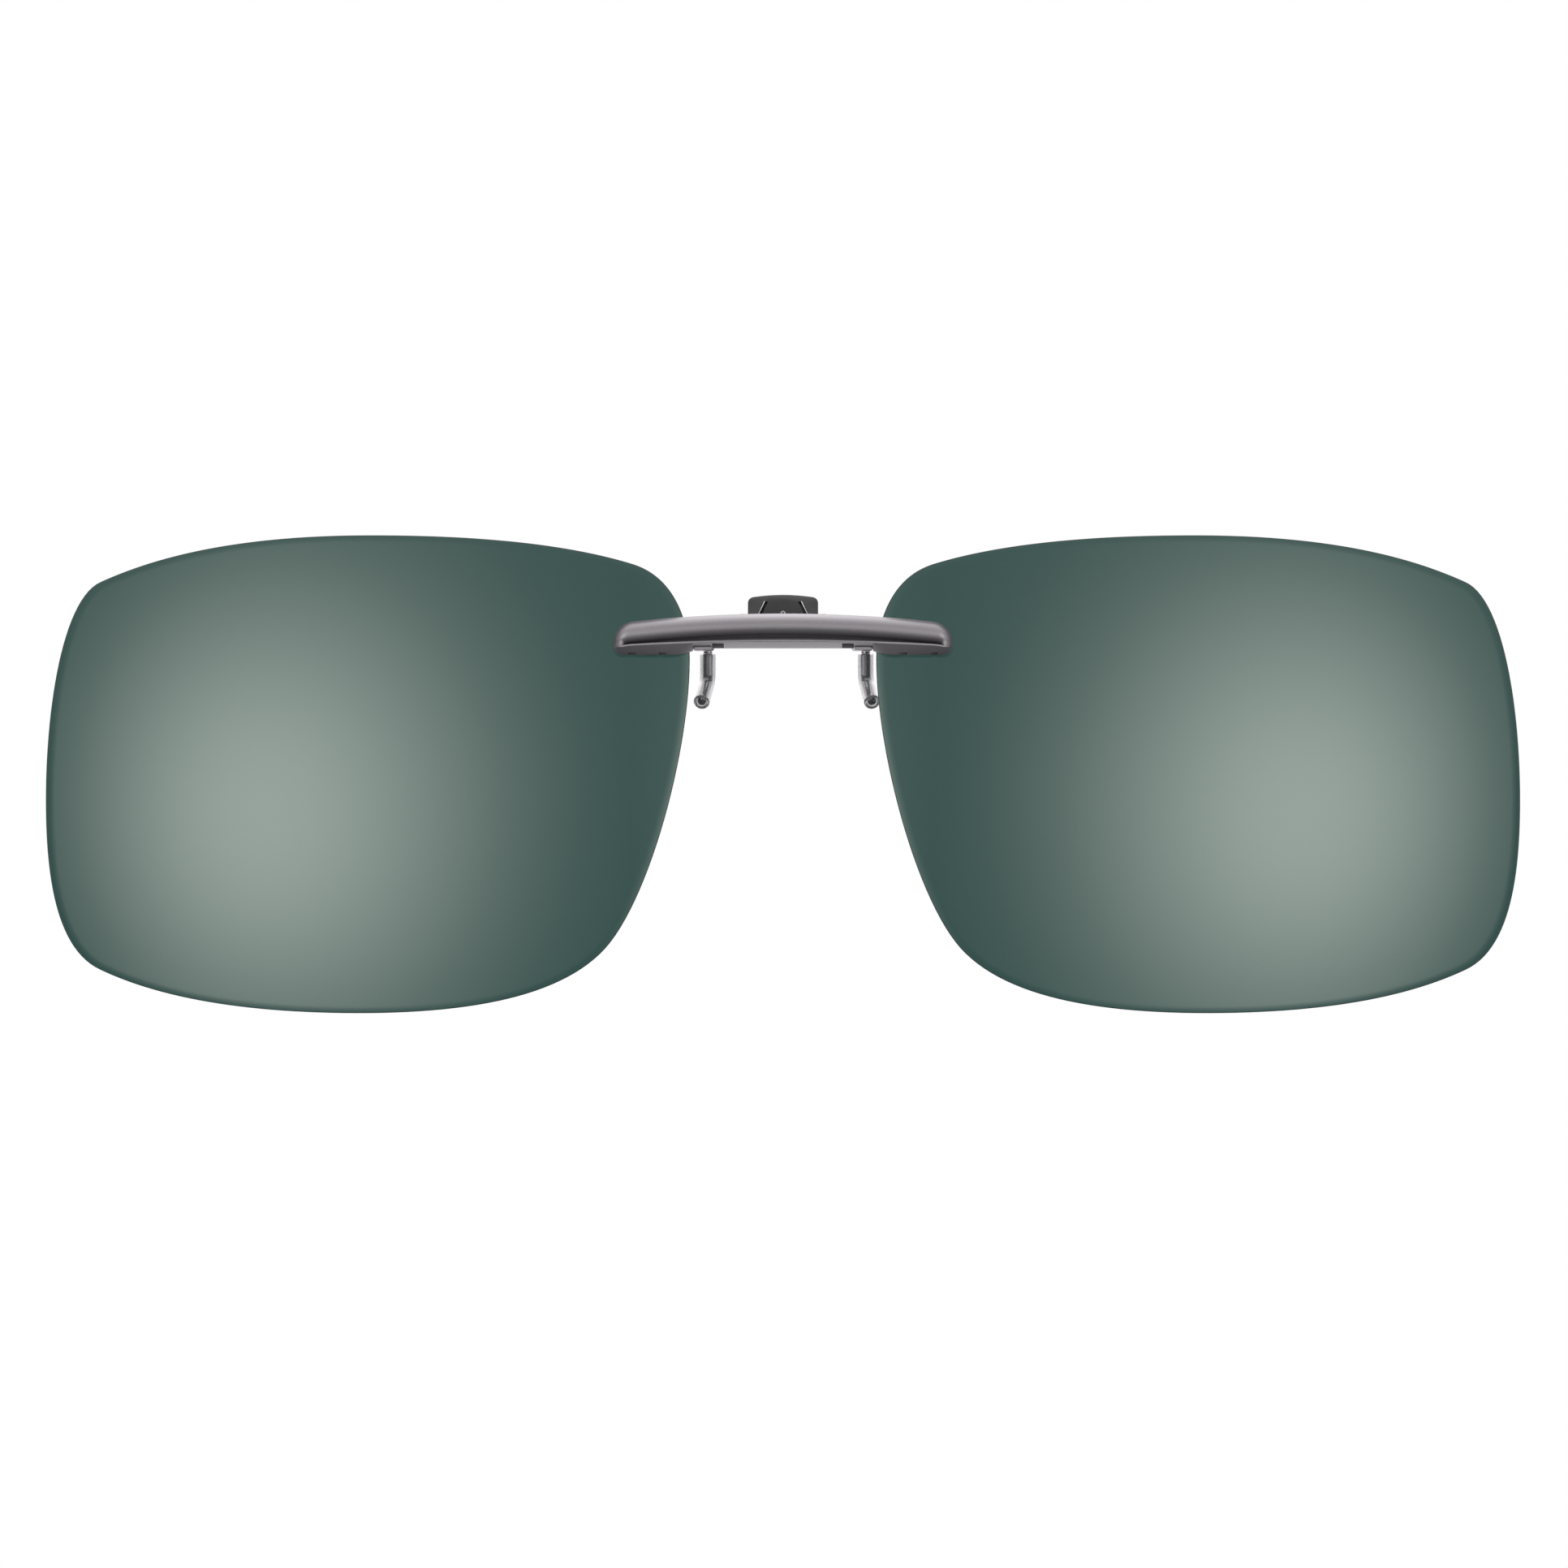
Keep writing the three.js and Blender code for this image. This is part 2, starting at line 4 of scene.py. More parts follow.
import bmesh
import bpy
from mathutils import Matrix, Vector


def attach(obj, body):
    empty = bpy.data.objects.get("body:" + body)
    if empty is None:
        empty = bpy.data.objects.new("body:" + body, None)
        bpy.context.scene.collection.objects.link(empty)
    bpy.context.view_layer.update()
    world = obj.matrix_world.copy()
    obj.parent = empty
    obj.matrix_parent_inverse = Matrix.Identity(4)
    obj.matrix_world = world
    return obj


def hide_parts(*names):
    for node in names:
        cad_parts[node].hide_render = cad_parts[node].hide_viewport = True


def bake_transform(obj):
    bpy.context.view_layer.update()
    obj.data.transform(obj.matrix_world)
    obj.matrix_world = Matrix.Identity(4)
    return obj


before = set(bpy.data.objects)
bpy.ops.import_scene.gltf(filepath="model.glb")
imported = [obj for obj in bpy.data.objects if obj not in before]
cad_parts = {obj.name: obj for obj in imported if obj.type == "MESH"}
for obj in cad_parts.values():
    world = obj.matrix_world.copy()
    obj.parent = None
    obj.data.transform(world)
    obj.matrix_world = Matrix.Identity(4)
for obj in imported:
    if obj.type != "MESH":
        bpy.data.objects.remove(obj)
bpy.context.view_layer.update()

MM = 0.001

# ---- dimensions repeated from the CAD source, in millimetres --------------------------------
EYE_Z = -11.6  # height of the lenses' mid-line
LENS_R = 132.0
LENS_APEX_X = 23.4  # where each lens bulges furthest forward
LENS_APEX_Y = -3.8
LENS_T = 1.0
LENS_MID_X = 37.2

BAR_HALF = 15.1
BAR_CAMBER_R = 128.0
BAR_TOP = 2.7
BAR_BACK_Y = -2.4
BEAD_Y = -3.95  # root plane of the bar's raised bead
BEAD_OUT = 1.05
LIP_Y = -5.05  # front of the ledge under the bead
BAR_END_Y = -3.05  # the bar's ends thin down to this plane
MID_FOOT_X = 8  # the bar's lower edge is level out to here
FOOT_X, FOOT_Y, FOOT_Z, FOOT_SIZE = 7.15, -3.275, -0.4, (1.6, 1.65, 0.3)
RELIEF_X, RELIEF_Y, RELIEF_Z, RELIEF_SIZE = 5.78, -3.8, -0.375, (1.05, 3, 0.85)
NOTCH_Y, NOTCH_ABOVE, NOTCH_SIZE = -4.1, 0.17, (0.65, 1.6, 0.16)
SEAT_X = 8.1  # the lens seats start here
CHASSIS_REAR_Y = -0.6

RIVET_X = (10.7, 13.4)
RIVET_Z = 0.6
RIVET_FRONT_Y = -3.55
SCREW_X = 5.2
SCREW_Z = 1.25

PIVOT = Vector((0.0, 2.5, 1.5))
LEAN = math.radians(35)
WIRE_R = 0.4
SLEEVE_R = 0.72
SLEEVE_BORE_R = 0.46
LEG_X = 7.06
WIRE_SHIFT = 0.34

SPRING_R = 0.72
SPRING_WIRE_R = 0.12
SPRING_X = 1.22  # outer end of each coil
SPRING_GAP_X = 0.14  # inner end of each coil
SPRING_TURNS = 4
SPRING_TILT = math.radians(6)

SIDES = (("left", -1), ("right", 1))


# ---- mesh helpers ---------------------------------------------------------------------------
def make(name, points, faces, sharp=35):
    """A smooth-shaded object from points in millimetres; edges over `sharp` degrees stay crisp."""
    mesh = bpy.data.meshes.new(name)
    mesh.from_pydata([tuple(c * MM for c in p) for p in points], [], faces)
    bm = bmesh.new()
    bm.from_mesh(mesh)
    bmesh.ops.recalc_face_normals(bm, faces=bm.faces)
    bm.to_mesh(mesh)
    bm.free()
    mesh.shade_smooth()
    mesh.set_sharp_from_angle(angle=math.radians(sharp))
    ob = bpy.data.objects.new(name, mesh)
    bpy.context.scene.collection.objects.link(ob)
    return ob


def loft(name, sections, sharp=35, closed=False):
    """A solid through closed sections of equal counts; `closed` joins the last to the first."""
    n = len(sections[0])
    points = [p for s in sections for p in s]
    faces = []
    count = len(sections)
    for s in range(count if closed else count - 1):
        for i in range(n):
            j = (i + 1) % n
            a, b = s * n, ((s + 1) % count) * n
            faces.append((a + i, b + i, b + j, a + j))
    if not closed:
        faces += [tuple(range(n)), tuple(range((count - 1) * n, count * n))]
    return make(name, points, faces, sharp)


def frames_along(path):
    """(point, side, other side) along a polyline, carried along without twisting."""
    def tangent(i):
        t = Vector()
        if i:
            t += (path[i] - path[i - 1]).normalized()
        if i + 1 < len(path):
            t += (path[i + 1] - path[i]).normalized()
        return t.normalized()

    t0 = tangent(0)
    across = Vector((0, 1, 0)) if abs(t0.y) < 0.9 else Vector((1, 0, 0))
    across = (across - t0 * across.dot(t0)).normalized()
    rows = []
    for i, p in enumerate(path):
        t = tangent(i)
        across = t0.rotation_difference(t) @ across
        across = (across - t * across.dot(t)).normalized()
        t0 = t
        rows.append((p, across.copy(), t.cross(across)))
    return rows


def ring(row, r, sides, push=0.0):
    p, a, b = row
    along = a.cross(b)
    angles = [2 * math.pi * k / sides for k in range(sides)]
    return [p + along * push + a * (r * math.cos(t)) + b * (r * math.sin(t)) for t in angles]


def round_bar(name, path, r, sides=32, end=0.08):
    """A wire along a path, its two ends slightly rounded."""
    rows = frames_along(path)
    first, last = rows[0], rows[-1]
    rings = [ring(first, r - end, sides), ring(first, r - 0.3 * end, sides, 0.3 * end)]
    rings += [ring(first, r, sides, end)]
    rings += [ring(row, r, sides) for row in rows[1:-1]]
    rings += [ring(last, r, sides, -end)]
    rings += [ring(last, r - 0.3 * end, sides, -0.3 * end), ring(last, r - end, sides)]
    return loft(name, rings, 50)


def tube(name, path, r, bore, sides=48, lip=0.09):
    """A sleeve along a path, with rounded mouths."""
    rows = frames_along(path)
    mid = (r + bore) / 2
    half = (r - bore) / 2

    def mouth(row, sign):
        out = []
        for k in range(7):
            a = math.pi * (k / 6 - 0.5)
            out.append(ring(row, mid + half * math.sin(a), sides, sign * lip * (math.cos(a) - 1)))
        return out

    outer = [ring(row, r, sides) for row in rows[1:-1]]
    inner = [ring(row, bore, sides) for row in reversed(rows[1:-1])]
    rings = mouth(rows[0], -1) + outer + mouth(rows[-1], 1)[::-1] + inner
    return loft(name, rings, 50, closed=True)


def turned(name, profile, x, z, sides=40):
    """A closed profile of (radius, y) turned about the Y axis through (x, z)."""
    rings = []
    for k in range(sides):
        a = 2 * math.pi * k / sides
        rings.append([Vector((x + r * math.cos(a), y, z + r * math.sin(a))) for r, y in profile])
    ob = loft(name, rings, 35, closed=True)
    bm = bmesh.new()
    bm.from_mesh(ob.data)
    bmesh.ops.remove_doubles(bm, verts=bm.verts, dist=1e-7)
    bm.to_mesh(ob.data)
    bm.free()
    return ob


def cut(ob, cutters, operation="DIFFERENCE"):
    """Takes the cutters' volume out of ob, or joins it on, and deletes them."""
    for c in cutters:
        mod = ob.modifiers.new("cut", "BOOLEAN")
        mod.operation = operation
        mod.solver = "EXACT"
        mod.object = c
    apply_modifiers(ob)
    for c in cutters:
        bpy.data.objects.remove(c)


def apply_modifiers(ob):
    bpy.context.view_layer.update()
    done = bpy.data.meshes.new_from_object(ob.evaluated_get(bpy.context.evaluated_depsgraph_get()))
    ob.modifiers.clear()
    ob.data = done


def block(name, centre, size, bevel=0.0):
    """A block, its edges rounded by `bevel`, that is cut from a piece or joined to it."""
    cx, cy, cz = centre
    sx, sy, sz = (s / 2 for s in size)
    corners = ((-1, -1), (1, -1), (1, 1), (-1, 1))
    ob = loft(name, [[Vector((cx + i * sx, cy + j * sy, cz + k * sz)) for i, j in corners]
                     for k in (-1, 1)])
    if bevel:
        edges = ob.modifiers.new("edges", "BEVEL")
        edges.width = bevel * MM
        edges.segments = 3
        apply_modifiers(ob)
    return ob


def refined(name, node, width):
    """A new piece from a CAD node's own shape, its edges rounded over by `width` millimetres."""
    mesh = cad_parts[node].data.copy()
    mesh.name = name
    bm = bmesh.new()
    bm.from_mesh(mesh)
    bmesh.ops.remove_doubles(bm, verts=bm.verts, dist=2e-6)
    bmesh.ops.dissolve_limit(bm, angle_limit=math.radians(1.0), verts=bm.verts, edges=bm.edges)
    bm.to_mesh(mesh)
    bm.free()
    mesh.materials.clear()
    ob = bpy.data.objects.new(name, mesh)
    bpy.context.scene.collection.objects.link(ob)
    bevel = ob.modifiers.new("edges", "BEVEL")
    bevel.width = width * MM
    bevel.segments = 3
    bevel.limit_method = "ANGLE"
    bevel.angle_limit = math.radians(28)
    apply_modifiers(ob)
    ob.data.shade_smooth()
    ob.data.set_sharp_from_angle(angle=math.radians(40))
    return ob


# ---- materials ------------------------------------------------------------------------------
def node_material(name):
    mat = bpy.data.materials.new(name)
    mat.use_nodes = True
    tree = mat.node_tree
    return mat, tree, tree.nodes["Principled BSDF"]


def add(tree, kind, **values):
    node = tree.nodes.new(kind)
    for key, value in values.items():
        if key in node.inputs:
            node.inputs[key].default_value = value
        else:
            setattr(node, key, value)
    return node


def noise(tree, scale, detail, rough, stretch=None):
    """Object-space noise, its scale in features per metre."""
    coords = add(tree, "ShaderNodeTexCoord")
    source = coords.outputs["Object"]
    if stretch:
        mapping = add(tree, "ShaderNodeMapping")
        mapping.inputs["Scale"].default_value = stretch
        tree.links.new(source, mapping.inputs["Vector"])
        source = mapping.outputs["Vector"]
    tex = add(tree, "ShaderNodeTexNoise", Scale=scale, Detail=detail, Roughness=rough)
    tree.links.new(source, tex.inputs["Vector"])
    return tex.outputs["Fac"]


def ramp(tree, fac, low, high):
    """A colour between `low` and `high`, over the middle of the range of `fac`."""
    node = add(tree, "ShaderNodeValToRGB")
    for element, position, colour in zip(node.color_ramp.elements, (0.3, 0.7), (low, high)):
        element.position = position
        element.color = (*colour, 1)
    tree.links.new(fac, node.inputs["Fac"])
    return node.outputs["Color"]


def spread(tree, fac, low, high):
    """A number between `low` and `high`."""
    node = add(tree, "ShaderNodeMapRange")
    node.inputs["To Min"].default_value = low
    node.inputs["To Max"].default_value = high
    tree.links.new(fac, node.inputs["Value"])
    return node.outputs["Result"]


def bump(tree, bsdf, height, strength, distance):
    node = add(tree, "ShaderNodeBump", Strength=strength, Distance=distance)
    tree.links.new(height, node.inputs["Height"])
    tree.links.new(node.outputs["Normal"], bsdf.inputs["Normal"])


def calc(tree, operation, a, b):
    """Arithmetic on two values, each a number or the output of a node."""
    node = add(tree, "ShaderNodeMath", operation=operation)
    for socket, value in zip(node.inputs, (a, b)):
        if isinstance(value, (int, float)):
            socket.default_value = value
        else:
            tree.links.new(value, socket)
    return node.outputs[0]


GRAIN_DEPTH = 1e-5  # in metres


def grey(v):
    return (v, v, v)


def metal(name, low, high, rough, grain, grain_scale, stretch=None):
    """Metal whose fine grain varies its colour, roughness and surface."""
    mat, tree, bsdf = node_material(name)
    bsdf.inputs["Metallic"].default_value = 1.0
    fine = noise(tree, grain_scale, 4, 0.6, stretch)
    tree.links.new(ramp(tree, fine, low, high), bsdf.inputs["Base Color"])
    tree.links.new(spread(tree, fine, rough[0], rough[1]), bsdf.inputs["Roughness"])
    bump(tree, bsdf, fine, grain, GRAIN_DEPTH)
    return mat


def plastic(name, low, high, rough, grain, grain_scale, specular=0.5):
    """Moulded plastic: broad uneven colour under a fine grain."""
    mat, tree, bsdf = node_material(name)
    bsdf.inputs["IOR"].default_value = 1.49
    bsdf.inputs["Specular IOR Level"].default_value = specular
    fine = noise(tree, grain_scale, 5, 0.6)
    broad = noise(tree, 350, 2, 0.5)
    tree.links.new(ramp(tree, broad, low, high), bsdf.inputs["Base Color"])
    tree.links.new(spread(tree, fine, rough[0], rough[1]), bsdf.inputs["Roughness"])
    bump(tree, bsdf, fine, grain, GRAIN_DEPTH)
    return mat


def lens_material():
    """Grey-green tinted plastic, clear and glossy, the tint slightly uneven as cast."""
    mat, tree, bsdf = node_material("lens_tint")
    bsdf.inputs["Transmission Weight"].default_value = 1.0
    bsdf.inputs["IOR"].default_value = 1.5
    bsdf.inputs["Roughness"].default_value = 0.0
    bsdf.inputs["Specular Tint"].default_value = (0.93, 1.0, 0.91, 1.0)
    tint = ramp(tree, noise(tree, 28, 2, 0.4), (0.0252, 0.0672, 0.0608), (0.0267, 0.0697, 0.0633))
    tree.links.new(tint, bsdf.inputs["Base Color"])
    return mat


def vinyl_material():
    """Soft clear vinyl, slightly cloudy, its surface a little wavy."""
    mat, tree, bsdf = node_material("clear_vinyl")
    bsdf.inputs["Transmission Weight"].default_value = 0.92
    bsdf.inputs["IOR"].default_value = 1.45
    cloud = noise(tree, 900, 3, 0.5)
    tint = ramp(tree, cloud, (0.5, 0.485, 0.505), (0.63, 0.62, 0.64))
    tree.links.new(tint, bsdf.inputs["Base Color"])
    tree.links.new(spread(tree, cloud, 0.05, 0.14), bsdf.inputs["Roughness"])
    bump(tree, bsdf, noise(tree, 500, 2, 0.5), 0.12, 5e-5)
    return mat


LENS = lens_material()
LENS_EDGE = plastic("lens_edge", (0.012, 0.024, 0.022), (0.02, 0.036, 0.033),
                    (0.3, 0.45), 0.3, 3000, 0.3)
BAR = metal("bar_metal", (0.18, 0.168, 0.18), (0.218, 0.206, 0.218), (0.47, 0.6), 0.4, 9000)
WIRE = metal("wire_steel", (0.16, 0.15, 0.155), (0.23, 0.22, 0.225),
             (0.15, 0.24), 0.3, 3000, (1, 1, 0.2))
SPRING = metal("spring_steel", (0.12, 0.115, 0.115), (0.19, 0.18, 0.18), (0.25, 0.36), 0.3, 4000)
FASTENER = metal("fastener_steel", (0.27, 0.27, 0.275), (0.35, 0.35, 0.355),
                 (0.22, 0.34), 0.3, 5000)
BLACK = plastic("lever_black", grey(0.012), grey(0.019), (0.38, 0.5), 0.35, 6000, 0.2)
# painted highlight: a paler grey painted on the front edges of the lever's two ribs
RIB_HIGHLIGHT_PAINT = plastic("lever_rib_painted_highlight", grey(0.2), grey(0.3), (0.3, 0.4), 0.3, 6000)
CHASSIS = plastic("chassis_plastic", (0.05, 0.047, 0.05), (0.068, 0.064, 0.068),
                  (0.42, 0.55), 0.4, 6000)
NYLON = plastic("bushing_nylon", grey(0.6), grey(0.7), (0.4, 0.5), 0.2, 5000)
VINYL = vinyl_material()


def finish(ob, material, body, node):
    """Gives a piece its material, and has it ride on `body` in the place of a CAD node."""
    ob.data.materials.clear()
    ob.data.materials.append(material)
    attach(ob, body)
    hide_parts(node)


# ---- lenses ---------------------------------------------------------------------------------
LENS_ROUND = 0.08  # how far the polished corners of the lens's edge are rounded
LENS_RINGS = 20
OUTLINE_STEPS = 26  # points on each curve of the outline


def lens_y(x, z):
    """Front surface of a lens."""
    h = z - EYE_Z
    return LENS_APEX_Y + LENS_R - math.sqrt(LENS_R**2 - (x - LENS_APEX_X) ** 2 - h**2)


# anchors and handles of the right-hand lens's outline, heights from the lenses' mid-line;
# these numbers were not chosen by hand: a least-squares fit to the photo's contour gave them
OUTLINE = (
    ((8.3, 10.2), (8.3, 13.0), (9.3, 17.4)),
    ((13.3, 18.7), (19.1, 20.5), (27.1, 21.3)),
    ((37.0, 21.3), (49.2, 21.3), (56.4, 19.3)),
    ((61.1, 17.2), (64.5, 15.7), (66.0, 6.0)),
    ((66.0, -2.4), (66.0, -8.6), (65.3, -15.6)),
    ((61.1, -17.5), (55.7, -20.0), (48.1, -21.3)),
    ((38.0, -21.3), (27.8, -21.3), (19.7, -19.8)),
    ((15.8, -15.5), (11.8, -11.0), (8.3, 2.1)),
)


def outline_points():
    points = []
    for i, (a, b, c) in enumerate(OUTLINE):
        d = OUTLINE[(i + 1) % len(OUTLINE)][0]
        a, b, c, d = map(Vector, (a, b, c, d))
        for k in range(OUTLINE_STEPS):
            t = k / OUTLINE_STEPS
            u = 1 - t
            points.append(u**3 * a + 3 * u**2 * t * b + 3 * u * t * t * c + t**3 * d)
    return points


def lens(name, side):
    """A lens, and the numbers of the faces of its polished edge."""
    rim = outline_points()
    n = len(rim)
    inward = []
    for i in range(n):
        along = (rim[(i + 1) % n] - rim[i - 1]).normalized()
        inward.append(Vector((along.y, -along.x)))
    loops = []  # (points in x and height, depth behind the front surface)
    fractions = [k / LENS_RINGS for k in range(1, LENS_RINGS)] + [0.975]
    middle = Vector((LENS_MID_X, 0))
    inset = [p + q * LENS_ROUND for p, q in zip(rim, inward)]
    flat = [[middle + (p - middle) * f for p in inset] for f in fractions]
    loops += [(pts, 0.0) for pts in flat]
    edge_start = len(loops)
    corner = [(1.0, 0.0), (0.4, 0.17), (0.1, 0.5), (0.0, 1.0)]
    edge = [(LENS_ROUND * a, LENS_ROUND * b) for a, b in corner]
    for push, depth in edge + [(push, LENS_T - depth) for push, depth in reversed(edge)]:
        loops.append(([p + q * push for p, q in zip(rim, inward)], depth))
    edge_end = len(loops) - 1
    loops += [(pts, LENS_T) for pts in reversed(flat)]
    points, faces = [], []
    for pts, depth in loops:
        for p in pts:
            z = EYE_Z + p.y
            points.append((side * p.x, lens_y(p.x, z) + depth, z))
    for s in range(len(loops) - 1):
        for i in range(n):
            j = (i + 1) % n
            faces.append((s * n + i, (s + 1) * n + i, (s + 1) * n + j, s * n + j))
    for start, depth in ((0, 0.0), ((len(loops) - 1) * n, LENS_T)):
        hub = len(points)
        points.append((side * middle.x, lens_y(middle.x, EYE_Z) + depth, EYE_Z))
        faces += [(hub, start + i, start + (i + 1) % n) for i in range(n)]
    return make(name, points, faces, 60), range(edge_start * n, edge_end * n)


for name, side in SIDES:
    ob, edge_faces = lens(f"{name}_lens_glazing", side)
    finish(ob, LENS, "clip", f"{name}_lens")
    ob.data.materials.append(LENS_EDGE)
    for i in edge_faces:
        ob.data.polygons[i].material_index = 1


# ---- bridge bar -----------------------------------------------------------------------------
BEAD_STEPS, BACK_STEPS = 24, 8
SEAT_GAP = 0.06  # between the bar and the lenses
BAR_CREASE = 38  # edges over this many degrees stay crisp


def camber(x):
    return BAR_CAMBER_R - math.sqrt(BAR_CAMBER_R**2 - x * x)


def bar_foot(x):
    """Lower edge: level in the middle, a little deeper where it covers the lenses."""
    out = abs(x) - MID_FOOT_X
    return -0.41 if out < 0 else -1.03 + 0.4 * max(0.0, 1 - out / 2) ** 2


def foot_y(x):
    """How far forward that edge stands: the front slopes under less over the lenses."""
    return -3.6 if abs(x) < MID_FOOT_X else -4.2


def bend(a, b, c, steps=20):
    """Points on the curve that leaves a towards b and reaches c from b."""
    return [(1 - t) ** 2 * a + 2 * (1 - t) * t * b + t * t * c
            for t in (k / steps for k in range(steps + 1))]


def smooth(t):
    t = min(max(t, 0.0), 1.0)
    return t * t * (3 - 2 * t)


def filleted(corners, steps=4):
    """(y, z, radius) corners turned into points, with `steps` along each rounded corner."""
    out = []
    for i, (y, z, r) in enumerate(corners):
        p = Vector((y, z))
        if not r:
            out.append(p)
            continue
        a = Vector(corners[i - 1][:2]) - p
        b = Vector(corners[(i + 1) % len(corners)][:2]) - p
        r = min(r, 0.45 * a.length, 0.45 * b.length)
        start, end = p + a.normalized() * r, p + b.normalized() * r
        out += bend(start, p, end, steps)
    return out


def bar_section(x):
    """The bar's outline at x: bead, crease and ledge in front, and the lens seat behind."""
    e = BAR_HALF - abs(x)

    def corner(r):
        return r - math.sqrt(max(0.0, r * r - (r - e) ** 2)) if e < r else 0.0

    top_full, foot_full = BAR_TOP - camber(x), bar_foot(x)
    top, foot = top_full - corner(1.75), foot_full + corner(0.95)
    plan = 0.3 + 0.7 * math.sqrt(max(0.0, 1 - (1 - e / 1.3) ** 2)) if e < 1.3 else 1.0
    fill = smooth((1.5 - e) / 0.8)
    bead_top, bead_foot = top_full - 0.12, 0.77 - 1.05 * camber(x)
    lip = 0.24 - 0.5 * camber(x)
    corners = [(BEAD_Y + 0.2, top_full, 0.1)]
    for i in range(BEAD_STEPS + 1):
        a = math.radians(84 - 168 * i / BEAD_STEPS)
        corners.append((
            BEAD_Y - BEAD_OUT * max(math.cos(a), 0.9 * fill if i > BEAD_STEPS / 2 else 0),
            (bead_top + bead_foot) / 2 + (bead_top - bead_foot) / 2 * math.sin(a), 0,
        ))
    corners += [(BEAD_Y - 0.95 * fill, bead_foot - 0.08, 0.03), (LIP_Y + 0.05, lip + 0.09, 0.07)]
    corners += [(LIP_Y, lip - 0.05, 0.07), (foot_y(x), foot_full, 0.12)]

    def height(z):
        return foot + (z - foot_full) / (top_full - foot_full) * (top - foot)

    points = []
    for y, z in filleted(corners):
        points.append((BAR_END_Y + (y - BAR_END_Y) * plan if y < BAR_END_Y else y, height(z)))
    for k in range(BACK_STEPS + 1):
        z = height(foot_full + (top_full - foot_full) * k / BACK_STEPS)
        points.append((lens_y(abs(x), z) - SEAT_GAP if abs(x) > SEAT_X else BAR_BACK_Y, z))
    return [Vector((x, y, z)) for y, z in points]


stations = [0.4 * k for k in range(20)]
stations += [MID_FOOT_X - 0.02, MID_FOOT_X + 0.02, SEAT_X, SEAT_X + 0.02]
stations += [8.3 + 0.25 * k for k in range(20)]
ends = [1.75, 1.6, 1.45, 1.3, 1.15, 1.0, 0.88, 0.76, 0.66, 0.56, 0.47, 0.38, 0.3, 0.23, 0.16,
        0.1, 0.055, 0.02, 0.002]
stations += [BAR_HALF - e for e in ends]
stations = [-x for x in reversed(stations[1:])] + stations
bar = loft("bridge_bar_cast", [bar_section(x) for x in stations], BAR_CREASE)
feet, notches = [], []
for _, side in SIDES:
    feet.append(block("foot", (side * FOOT_X, FOOT_Y, FOOT_Z), FOOT_SIZE, 0.06))
    notches.append(block("relief", (side * RELIEF_X, RELIEF_Y, RELIEF_Z), RELIEF_SIZE))
    for x in RIVET_X:
        notches.append(block("notch", (side * x, NOTCH_Y, bar_foot(x) + NOTCH_ABOVE), NOTCH_SIZE))
cut(bar, feet, "UNION")
cut(bar, notches)
bar.data.shade_smooth()
bar.data.set_sharp_from_angle(angle=math.radians(BAR_CREASE))
finish(bar, BAR, "clip", "bridge_bar")

# ---- rear chassis and lever -----------------------------------------------------------------
# lever coordinates: x across, then up along the leaning pad, then out of its front face
lever_frame = Matrix((
    (1, 0, 0, PIVOT.x),
    (0, math.sin(LEAN), -math.cos(LEAN), PIVOT.y),
    (0, math.cos(LEAN), math.sin(LEAN), PIVOT.z),
    (0, 0, 0, 1),
))


def paint_rib_highlights(ob, material):
    """Paints the front edges of the pad's two ribs a paler grey: a painted highlight along each
    rib.
    """
    ob.data.materials.append(material)
    back = lever_frame.inverted()
    for face in ob.data.polygons:
        x, up, out = back @ (face.center / MM)
        normal = back.to_3x3() @ face.normal
        rib_x = 2.24 - 0.31 * (up - 0.5)
        rib_out = 1.2 - 0.29 * (up - 0.5)
        if normal.z > 0.5 and abs(abs(x) - rib_x) < 0.12 and abs(out - rib_out) < 0.05:
            face.material_index = 1


chassis = refined("rear_chassis_moulding", "rear_chassis", 0.1)
finish(chassis, CHASSIS, "clip", "rear_chassis")
lever = refined("thumb_lever_moulding", "thumb_lever", 0.07)
finish(lever, BLACK, "lever", "thumb_lever")
# the ribs' front edges get a paler grey, a painted highlight
paint_rib_highlights(lever, RIB_HIGHLIGHT_PAINT)

# ---- fasteners, bushings and jaw pads -------------------------------------------------------
RIVET_HEAD_R, RIVET_DOME = 0.75, 0.28


def rivet_profile():
    """(radius, y) from the shank's end in the bar to the top of the domed head."""
    front, y = RIVET_FRONT_Y, CHASSIS_REAR_Y + 0.02
    shank = [(0, front), (0.34, front), (0.38, front + 0.04), (0.38, y)]
    dome = [(RIVET_HEAD_R * math.cos(a), y + 0.06 + RIVET_DOME * math.sin(a))
            for a in (math.pi / 2 * k / 8 for k in range(8))]
    top = (0, y + 0.06 + RIVET_DOME)
    return shank + [(RIVET_HEAD_R - 0.03, y), (RIVET_HEAD_R, y + 0.03)] + dome + [top]


def bushing_profile(x):
    y = lens_y(x, RIVET_Z) + 0.01
    rear = y + 1.02
    return [(0.41, y), (0.6, y), (0.62, y + 0.02), (0.62, rear - 0.02), (0.6, rear), (0.41, rear)]


def screw_profile(y):
    return [(0, -3.75), (0.3, -3.75), (0.4, -3.6), (0.4, y), (0.69, y), (0.72, y + 0.03),
            (0.72, y + 0.2), (0.66, y + 0.29), (0.55, y + 0.335), (0.3, y + 0.355), (0, y + 0.36)]


